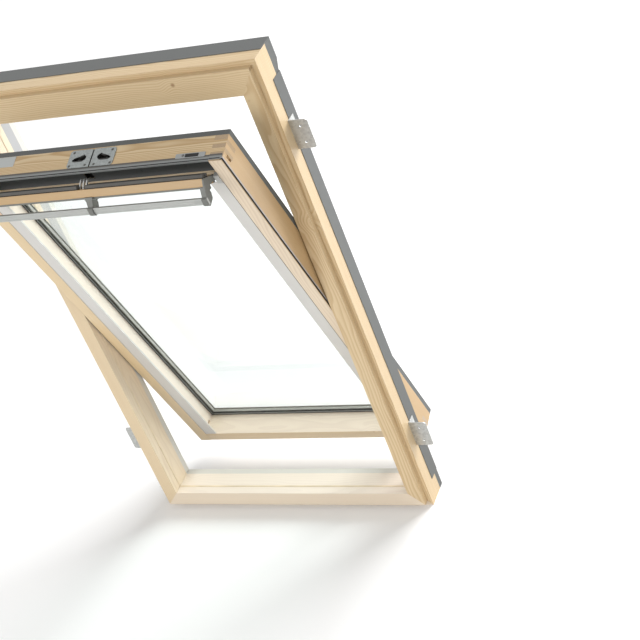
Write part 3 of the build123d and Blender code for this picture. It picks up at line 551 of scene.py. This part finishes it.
# Painted shade on the lip's back edge.
lip_back_painted_shade = (0.115, 0.11, 0.10, 1)
lip_metal = drawn_metal("lip_metal", (0.27, 0.28, 0.275, 1), 0.35, 0.42)
surface, tone = reopen(lip_metal)
depth = split(shut_coordinates(**sash_turn))[1]
feed(surface, Base_Color=mix(rise(depth, *lip_shade_band), tone, lip_back_painted_shade))
dress(lip_metal, "vent_lip")

# Castings: the bar's three brackets, the lock's two claws and the arms that link them to the flap.
# All are die-cast zinc: the brackets grey, the arms bright, and the claws painted near-black as the
# shade that lies on them under the lock plates.


def cast_metal(name, colour, metallic, roughness):
    """Cast zinc with a fine pebbled skin."""
    material, surface = start_material(name)
    here = shut_coordinates()
    pebble = noise(here, 1100.0, 2)
    cloud = noise(here, 40.0, 2)
    darker = tuple(c * 0.75 for c in colour[:3]) + (1,)
    feed(
        surface,
        Base_Color=mix(cloud * 0.6 + pebble * 0.2, colour, darker),
        Roughness=roughness + cloud * 0.15,
        Metallic=metallic + (cloud - 0.5) * 0.08,
        Normal=relief(pebble, 0.00006, 0.0006),
    )
    return material


dress(
    cast_metal("bracket_cast", (0.195, 0.20, 0.185, 1), 0.25, 0.45),
    "bar_bracket_left", "bar_bracket_right", "bar_bracket_centre",
)
# The claws are painted near-black as the shade under the lock plates.
dress(cast_metal("claw_painted_shade", (0.045, 0.045, 0.043, 1), 0.3, 0.45), "lock_claw_left", "lock_claw_right")
dress(cast_metal("link_cast", (0.62, 0.63, 0.62, 1), 0.8, 0.28), "flap_link_arms")

# Steel fittings: hinges, pins, rivets, the lock's striker and the brackets that fix the frame.
# They are pressed or turned from mild steel, galvanised, and screwed to the wood.


def galvanised(name, colour, spangle):
    """Hot-dipped zinc on steel, with its spangle of flat crystals."""
    material, surface = start_material(name)
    here = shut_coordinates()
    crystal = Shade.node("ShaderNodeTexVoronoi", inputs={"Vector": here, "Scale": spangle}, output=1)
    tone = split(crystal)[0]
    fine = noise(here, 700.0, 2)
    darker = tuple(c * 0.72 for c in colour[:3]) + (1,)
    feed(
        surface,
        Base_Color=mix(tone * 0.7 + fine * 0.2, colour, darker),
        Roughness=0.30 + tone * 0.16,
        Metallic=0.75 + tone * 0.1,
        Normal=relief(fine + tone * 0.4, 0.00005, 0.0006),
    )
    return material


dress(
    galvanised("galvanised_steel", (0.60, 0.61, 0.60, 1), 160.0),
    "frame_hinge_left", "frame_hinge_right", "sash_hinge_left", "sash_hinge_right", "pivot_pins",
    "flap_pins", "claw_rivets", "lock_striker", "fixing_bracket_low_left", "fixing_bracket_low_right",
    "fixing_bracket_high_left", "fixing_bracket_high_right",
)

# Bare plate: a thin rolled aluminium plate, stuck flat on the top rail next to its cover.
# Its rolling streaks run along the rail.

dress(drawn_metal("plate_metal", (0.50, 0.52, 0.51, 1), 0.5, 0.35), "bare_plate")

# Screws: zinc-plated countersunk wood screws with a cross recess, turned in flush with the plates.
# Each stands where the CAD screw is, and takes its head's centre and its direction from it.

sash_swing = Matrix.Translation(pivot) @ Matrix.Rotation(sash_open, 4, "X") @ Matrix.Translation(-pivot)
screw_outline = ((0.00385, 0.0), (0.0040, 0.0002), (0.0020, 0.0024), (0.0019, 0.0165), (0.0004, 0.0200))
recess_reach = 0.0021
recess_arm = 0.00055
recess_depth = 0.0014
recess_taper = 0.8
screw_sides = 24
same_place = 0.00001
end_rim = 0.0003
settling_rounds = 6


def piece(name, shape, body, material, place=None):
    """A finished piece: its mesh in the scene, moved to its place, dressed and riding on its body."""
    if place:
        bmesh.ops.transform(shape, matrix=place, verts=shape.verts)
    bmesh.ops.recalc_face_normals(shape, faces=shape.faces)
    mesh = bpy.data.meshes.new(name)
    shape.to_mesh(mesh)
    shape.free()
    mesh.materials.append(material)
    made = bpy.data.objects.new(name, mesh)
    bpy.context.scene.collection.objects.link(made)
    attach(made, body)
    return made


def screws_of(node):
    """The head centre and the direction of each screw in a CAD node."""
    shape = bmesh.new()
    shape.from_mesh(nodes[node].data)
    bmesh.ops.remove_doubles(shape, verts=shape.verts, dist=same_place)
    waiting = set(shape.verts)
    found = []
    while waiting:
        island = [min(waiting, key=lambda v: v.index)]
        waiting.discard(island[0])
        for vert in island:
            for edge in vert.link_edges:
                other = edge.other_vert(vert)
                if other in waiting:
                    waiting.discard(other)
                    island.append(other)
        places = [vert.co.copy() for vert in island]
        pairs = ((a, b) for a in places[::3] for b in places[::3])
        first, last = max(pairs, key=lambda pair: (pair[0] - pair[1]).length)
        middle = sum(places, Vector()) / len(places)
        axis = (last - first).normalized()
        for _ in range(settling_rounds):
            low = [p for p in places if (p - middle).dot(axis) < 0]
            high = [p for p in places if (p - middle).dot(axis) >= 0]
            axis = (sum(high, Vector()) / len(high) - sum(low, Vector()) / len(low)).normalized()
            reach = [(p - middle).dot(axis) for p in places]
            middle = middle + axis * (max(reach) + min(reach)) / 2
        ends = []
        for sign in (-1, 1):
            far = max(sign * (p - middle).dot(axis) for p in places)
            rim = [p for p in places if sign * (p - middle).dot(axis) > far - end_rim]
            centre = sum(rim, Vector()) / len(rim)
            ends.append((max((p - centre).length for p in rim), centre))
        (_, head), (_, tip) = sorted(ends, key=lambda end: -end[0])
        found.append((head, (tip - head).normalized()))
    shape.free()
    return found


def screw_shape(shape, head, direction):
    """Adds one screw to a mesh: a turned outline and a head face with a sunk cross."""
    turn = direction.to_track_quat("Z", "Y").to_matrix().to_4x4()
    place = Matrix.Translation(head) @ turn
    rings = []
    for radius, depth in screw_outline:
        ring = []
        for number in range(screw_sides):
            angle = math.tau * number / screw_sides
            point = Vector((radius * math.cos(angle), radius * math.sin(angle), depth))
            ring.append(shape.verts.new(place @ point))
        rings.append(ring)
    for upper, lower in zip(rings, rings[1:]):
        for number in range(screw_sides):
            after = (number + 1) % screw_sides
            shape.faces.new((upper[number], upper[after], lower[after], lower[number]))
    shape.faces.new(rings[-1])
    a, r = recess_arm, recess_reach
    cross = [
        (a, r), (-a, r), (-a, a), (-r, a), (-r, -a), (-a, -a),
        (-a, -r), (a, -r), (a, -a), (r, -a), (r, a), (a, a),
    ]
    top = [shape.verts.new(place @ Vector((x, y, 0))) for x, y in cross]
    sunk = [Vector((x * recess_taper, y * recess_taper, recess_depth)) for x, y in cross]
    floor_ring = [shape.verts.new(place @ point) for point in sunk]
    edges = []
    for loop in (rings[0], top):
        for number, vert in enumerate(loop):
            other = loop[(number + 1) % len(loop)]
            edges.append(shape.edges.get((vert, other)) or shape.edges.new((vert, other)))
    bmesh.ops.triangle_fill(shape, use_beauty=True, edges=edges)
    for number in range(len(cross)):
        after = (number + 1) % len(cross)
        shape.faces.new((top[number], top[after], floor_ring[after], floor_ring[number]))
    shape.faces.new(floor_ring)


zinc = cast_metal("screw_zinc", (0.16, 0.16, 0.15, 1), 0.6, 0.38)
for node, body in (("frame_screws", "frame"), ("sash_screws", "sash")):
    shape = bmesh.new()
    for head, direction in screws_of(node):
        screw_shape(shape, head, direction)
    made = piece(node.replace("screws", "wood_screws"), shape, body, zinc)
    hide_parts(node)

# Lock faces: two pressed zinc-plated steel plates with a comma slot each, let into the top rail.
# Folded cheeks below them carry the claws' rivets, and reach the plate only beside its slot.

both_ends = ((1, "right"), (-1, "left"))
sash_top = 1.503
plate_rise = 0.002
sheet_edge = 0.0003
lock_face_spans = ((0.002, 0.072), (-0.024, 0.034))
lock_face_corners = (0.0012, 0.009, 0.009, 0.0012)
comma_hub = (0.0262, 0.0072, 0.0088)
comma_tail = (0.0560, 0.0010, 0.0052)
comma_bend = 0.7
comma_swell = 0.55
comma_taper = 0.45
lock_holes = ((0.064, -0.0176), (0.060, 0.026), (0.014, -0.0176))
hole_radius = 0.0041
cheek_span = (0.002, 0.065)
cheek_depths = ((0.000, 0.002), (0.008, 0.010))
cheek_drop = 0.032
cheek_top = sash_top - 0.012
cheek_tabs = ((0.002, 0.0155), (0.0620, 0.065))
tab_root = 0.001


def rounded(x_range, y_range, radii, steps=6):
    """Corner points of a rectangle with its own radius at each corner, anticlockwise from low x, low y."""
    points = []
    corners = ((0, 0), (1, 0), (1, 1), (0, 1))
    for number, (right, top) in enumerate(corners):
        radius = radii[number]
        cx = x_range[right] + (radius if not right else -radius)
        cy = y_range[top] + (radius if not top else -radius)
        for step in range(steps + 1):
            angle = math.pi * (1 + number / 2 + step / (2 * steps))
            points.append((cx + radius * math.cos(angle), cy + radius * math.sin(angle)))
    return points


def circle(centre, radius, sides=20):
    """Points round a circle."""
    turns = [math.tau * number / sides for number in range(sides)]
    return [(centre[0] + radius * math.cos(turn), centre[1] + radius * math.sin(turn)) for turn in turns]


def comma(hub, tail, steps=10):
    """A round head that narrows into a bent tail, as the slot that a claw swings through."""
    upper, lower = [], []
    for step in range(steps + 1):
        share = step / steps
        x = hub[0] + (tail[0] - hub[0]) * share
        y = hub[1] + (tail[1] - hub[1]) * share ** comma_bend
        swell = hub[2] * (1 - share) ** comma_bend * comma_swell
        width = swell + tail[2] + (hub[2] - tail[2]) * comma_taper * (1 - share)
        upper.append((x, y + width))
        lower.append((x, y - width))
    cap = []
    for step in range(1, steps):
        angle = math.pi * (0.5 + step / steps)
        cap.append((hub[0] + hub[2] * math.cos(angle), hub[1] + hub[2] * math.sin(angle)))
    end = [(tail[0] + tail[2], tail[1])]
    return lower + end + upper[::-1] + cap


def pressed_sheet(shape, outline, holes, low, high, edge):
    """Adds a flat sheet with holes to a mesh, its edges slightly rounded."""
    curve = bpy.data.curves.new("sheet", "CURVE")
    curve.dimensions = "2D"
    curve.fill_mode = "BOTH"
    curve.extrude = (high - low) / 2 - edge
    curve.bevel_depth = edge
    curve.bevel_resolution = 1
    curve.offset = -edge
    for loop in [outline] + holes:
        spline = curve.splines.new("POLY")
        spline.points.add(len(loop) - 1)
        for point, (x, y) in zip(spline.points, loop):
            point.co = (x, y, 0, 1)
        spline.use_cyclic_u = True
    holder = bpy.data.objects.new("sheet", curve)
    flat = bpy.data.meshes.new_from_object(holder)
    bpy.data.objects.remove(holder)
    bpy.data.curves.remove(curve)
    flat.transform(Matrix.Translation((0, 0, (low + high) / 2)))
    shape.from_mesh(flat)
    bpy.data.meshes.remove(flat)


def soft_block(shape, x_range, y_range, z_range, edge):
    """Adds a box with rounded edges to a mesh."""
    sizes = [high - low for low, high in (x_range, y_range, z_range)]
    middle = [sum(limits) / 2 for limits in (x_range, y_range, z_range)]
    stretch = Matrix.Translation(middle) @ Matrix.Diagonal((*sizes, 1))
    made = bmesh.ops.create_cube(shape, size=1.0, matrix=stretch)
    edges = {e for v in made["verts"] for e in v.link_edges}
    bmesh.ops.bevel(shape, geom=list(edges), offset=edge, segments=2, profile=0.6, affect="EDGES")


lock_steel = galvanised("lock_steel", (0.37, 0.395, 0.39, 1), 260.0)
for side, name in both_ends:
    shape = bmesh.new()
    outline = rounded(*lock_face_spans, lock_face_corners)
    holes = [comma(comma_hub, comma_tail)] + [circle(place, hole_radius) for place in lock_holes]
    pressed_sheet(shape, outline, holes, sash_top, sash_top + plate_rise, sheet_edge)
    for cheek in cheek_depths:
        soft_block(shape, cheek_span, cheek, (sash_top - cheek_drop, cheek_top), sheet_edge)
        for tab in cheek_tabs:
            soft_block(shape, tab, cheek, (cheek_top - tab_root, sash_top), sheet_edge)
    mirror = Matrix.Diagonal((side, 1, 1, 1))
    made = piece("lock_face_" + name, shape, "sash", lock_steel, sash_swing @ mirror)
    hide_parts("lock_plate_" + name)

# Vent catch: a folded aluminium clip over the lip, held by one screw through its round hole.
# A black rubber buffer is stuck on the clip.

catch_spans = ((0.265, 0.353), (-0.0275, -0.0125))
catch_corner = 0.003
catch_hole = (0.287, -0.019)
catch_top = sash_top + 0.0015
buffer_spans = ((0.294, 0.333), (-0.0255, -0.0155))
buffer_height = 0.0012
buffer_edge = 0.0005
catch_metal = drawn_metal("catch_metal", (0.36, 0.37, 0.365, 1), 0.6, 0.3)
shape = bmesh.new()
outline = rounded(*catch_spans, (catch_corner,) * 4)
pressed_sheet(shape, outline, [circle(catch_hole, hole_radius)], sash_top, catch_top, sheet_edge)
made = piece("vent_catch", shape, "sash", catch_metal, sash_swing)
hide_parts("vent_keeper")
shape = bmesh.new()
soft_block(shape, *buffer_spans, (catch_top, catch_top + buffer_height), buffer_edge)
piece("catch_buffer", shape, "sash", black_rubber, sash_swing)

# Lip ends: short aluminium plates that carry the lip on over the stiles' tops.
# The black line of the lip's seal runs on through a slot in each.

lip_end_spans = ((0.3672, 0.4045), (-0.0405, -0.0232))
lip_end_corners = (0.0004, 0.003, 0.003, 0.0004)
seal_slot_spans = ((0.3672, 0.4000), (-0.039, -0.0355))
seal_slot_corner = 0.0006
seal_strip_spans = ((0.3674, 0.3998), (-0.0389, -0.0356))
seal_strip_top = sash_top + 0.0008
seal_strip_edge = 0.0002
for side, name in both_ends:
    shape = bmesh.new()
    slot = rounded(*seal_slot_spans, (seal_slot_corner,) * 4, 2)
    pressed_sheet(shape, rounded(*lip_end_spans, lip_end_corners), [slot], sash_top, catch_top, sheet_edge)
    mirror = Matrix.Diagonal((side, 1, 1, 1))
    piece("lip_end_" + name, shape, "sash", lip_metal, sash_swing @ mirror)
    shape = bmesh.new()
    soft_block(shape, *seal_strip_spans, (sash_top, seal_strip_top), seal_strip_edge)
    piece("lip_end_seal_" + name, shape, "sash", black_rubber, sash_swing @ mirror)

# Bar grips: three fine ribs at each end of the control bar, where it is pulled.
# They are pressed up out of the bar's own aluminium.

bar_frame = Matrix.Translation(bar_middle) @ Matrix.Rotation(bar_tilt, 4, "X")
grip_span = (0.312, 0.336)
rib_places = (-0.0026, 0.0, 0.0026)
rib_half = 0.0006
rib_heights = (0.0028, 0.0036)
rib_edge = 0.0002
for side, name in both_ends:
    shape = bmesh.new()
    for across in rib_places:
        ends = sorted(side * end for end in grip_span)
        soft_block(shape, ends, (across - rib_half, across + rib_half), rib_heights, rib_edge)
    piece("bar_grip_" + name, shape, "vent_flap_body", bar_metal, flap_swing @ bar_frame)

# Ventilation flap: a pine board that tips towards the room about its lower edge.
# It is golden, and its lacquer is the same as on the frame and the sash.

dress(pine("pine_flap", grain="X", pith=(-0.02, 1.40), pale_and_light=-0.75, **flap_turn), "vent_flap")

# Floor: a plain pale studio floor that keeps the window's shadow.
# Far from the window it glows a little where it is looked at, so it runs into the white surround.

floor_half = 30.0
floor_white = (0.95, 0.95, 0.95, 1)
floor_shade = (0.93, 0.93, 0.93, 1)
no_glow = (0, 0, 0, 1)
far_glow = (0.46, 0.46, 0.46, 1)
glow_reach = (1.5, 6.0)
floor_mesh = bpy.data.meshes.new("studio_floor")
floor_shape = bmesh.new()
bmesh.ops.create_grid(floor_shape, x_segments=1, y_segments=1, size=floor_half)
floor_shape.to_mesh(floor_mesh)
floor_shape.free()
floor = bpy.data.objects.new("studio_floor", floor_mesh)
bpy.context.scene.collection.objects.link(floor)
floor_paint, floor_surface = start_material(
    "studio_floor", Roughness=0.9, Specular_IOR_Level=0.1, Emission_Strength=1.0
)
x, y, _ = split(shut_coordinates())
far_off = rise(Shade.math("SQRT", x * x + y * y), *glow_reach)
looked_at = any_ray("Camera", "Transmission")
feed(
    floor_surface,
    Base_Color=mix(noise(shut_coordinates(), 0.4), floor_shade, floor_white),
    Emission_Color=mix(far_off * looked_at, no_glow, far_glow),
)
floor_mesh.materials.append(floor_paint)

# Light: a soft key lamp and a weak fill lamp on the room side, and a wide lamp on the weather side
# as the sky. The surround is an even white, softer where it only lights the window.

surround_shown = (1, 1, 1, 1)
surround_light = (0.55, 0.55, 0.545, 1)


def soft_lamp(name, place, size, power, aim=(0, 0, 0.8)):
    """A square area lamp aimed at the window."""
    lamp = bpy.data.lights.new(name, "AREA")
    lamp.size = size
    lamp.energy = power
    lamp_object = bpy.data.objects.new(name, lamp)
    lamp_object.location = place
    lamp_object.rotation_euler = (Vector(aim) - Vector(place)).to_track_quat("-Z", "Y").to_euler()
    bpy.context.scene.collection.objects.link(lamp_object)


soft_lamp("key_lamp", place=(-1.4, -4.2, 2.2), size=2.5, power=74)
soft_lamp("fill_lamp", place=(3.6, -2.6, 3.4), size=2.5, power=12)
soft_lamp("sky_lamp", place=(1.5, 2.7, 2.3), size=2.2, power=190, aim=(0, 0, 0.5))

world = bpy.data.worlds.new("studio")
bpy.context.scene.world = world
world.use_nodes = True
Shade.tree = world.node_tree
seen = any_ray("Camera", "Glossy", "Transmission")
surround = world.node_tree.nodes["Background"]
feed(surround, Color=mix(seen, surround_light, surround_shown))

# Camera: at the photograph's viewing angle, in the window's own upright frame.
# It stands in the room, high on the right, and looks down through a long lens.

camera_place = Vector((2.5678, -3.4515, 3.4998))
camera_forward = Vector((-0.4505, 0.6954, -0.5599)).normalized()
camera_right = Vector((0.8917, 0.3202, -0.3199)).normalized()
camera_up = camera_right.cross(camera_forward)
lens_data = bpy.data.cameras.new("photo_camera")
lens_data.sensor_width = 36.0
lens_data.lens = 97.66
camera = bpy.data.objects.new("photo_camera", lens_data)
camera.matrix_world = Matrix.Translation(camera_place) @ Matrix(
    (camera_right, camera_up, -camera_forward)
).transposed().to_4x4()
bpy.context.scene.collection.objects.link(camera)
bpy.context.scene.camera = camera

bpy.context.scene.view_settings.view_transform = "Standard"
